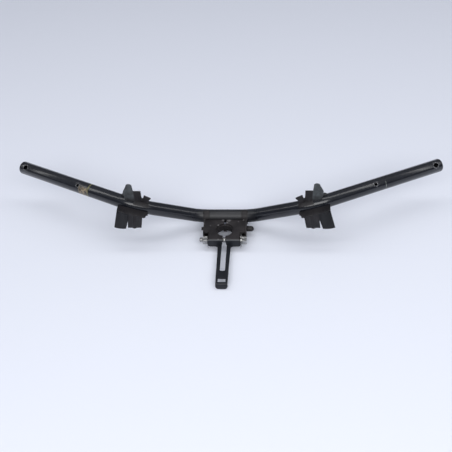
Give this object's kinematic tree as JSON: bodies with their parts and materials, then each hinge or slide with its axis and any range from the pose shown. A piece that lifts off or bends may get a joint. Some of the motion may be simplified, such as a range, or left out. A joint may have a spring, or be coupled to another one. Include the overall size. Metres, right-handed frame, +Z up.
{
  "type": "scooter handlebar",
  "caption": "Bent steel tube handlebar with a split steering clamp, a slotted forward tongue and folded side brackets for the cowl.",
  "frame": {"origin": "middle of the collar's bore, on the steering axis", "axes": "+Z up along the steering axis, +X along the bar, to the right as seen from the front, +Y back from the clamp towards the tube"},
  "size_m": [0.722, 0.2263, 0.119],
  "materials": {
    "tube_paint": "worn gloss blue black enamel",
    "bracket_paint": "dusty satin black",
    "side_paint": "dusty satin black",
    "weld_paint": "painted weld",
    "zinc": "dull zinc plate"
  },
  "bodies": {
    "root": {"handlebar_tube": "tube_paint", "clamp_stamping": "bracket_paint", "clamp_lower_plate": "bracket_paint", "clamp_collar": "bracket_paint", "left_clamp_cheek": "bracket_paint", "right_clamp_cheek": "bracket_paint", "pinch_bolt": "zinc", "pinch_washer": "zinc", "pinch_nut": "zinc", "cable_peg": "bracket_paint", "left_stop": "bracket_paint", "left_bracket": "side_paint", "right_bracket": "side_paint", "collar_weld": "weld_paint", "left_cheek_weld": "weld_paint", "right_cheek_weld": "weld_paint", "left_bracket_weld": "weld_paint", "right_bracket_weld": "weld_paint"}
  },
  "joints": []
}
